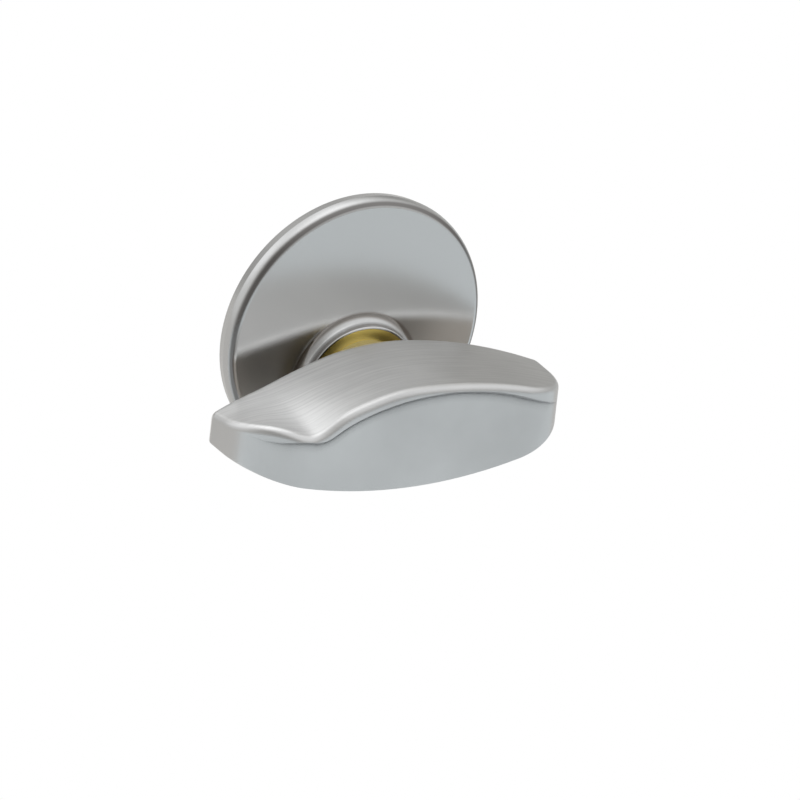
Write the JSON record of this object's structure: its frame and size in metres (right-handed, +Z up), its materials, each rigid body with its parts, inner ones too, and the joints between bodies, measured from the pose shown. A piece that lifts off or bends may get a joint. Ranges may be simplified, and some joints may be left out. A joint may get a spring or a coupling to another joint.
{
  "type": "thumb turn mortise cylinder",
  "caption": "Threaded mortise lock cylinder with a flat round head and a rounded edge, worked by an oval thumb turn with a sculpted thumb scoop; a flat cam behind drives the lock.",
  "frame": {"origin": "on the barrel's axis, in the plane of the head's back face, where the head meets the lock's front", "axes": "+Y along the barrel, into the door; -Y out of the head towards the person who turns it; +Z up; +X to that person's right"},
  "size_m": [0.0461, 0.0501, 0.0354],
  "materials": {
    "satin_plate": "satin chromium plate on brass, fine brushed grain",
    "bare_brass": "plain machined brass",
    "steel": "zinc plated steel"
  },
  "bodies": {
    "housing": {"cylinder_housing": "satin_plate", "friction_pin": "bare_brass", "friction_spring": "steel", "chamber_cap": "bare_brass"},
    "rotor": {"plug": "bare_brass", "thumb_turn": "satin_plate", "turn_pin": "steel", "cam": "steel", "cam_screw_left": "steel", "cam_screw_right": "steel"}
  },
  "joints": [
    {"name": "turn_spin", "type": "hinge", "parent": "housing", "child": "rotor", "pos_m": [0, 0, -0.00635], "axis": [0, 1, 0], "continuous": true}
  ]
}
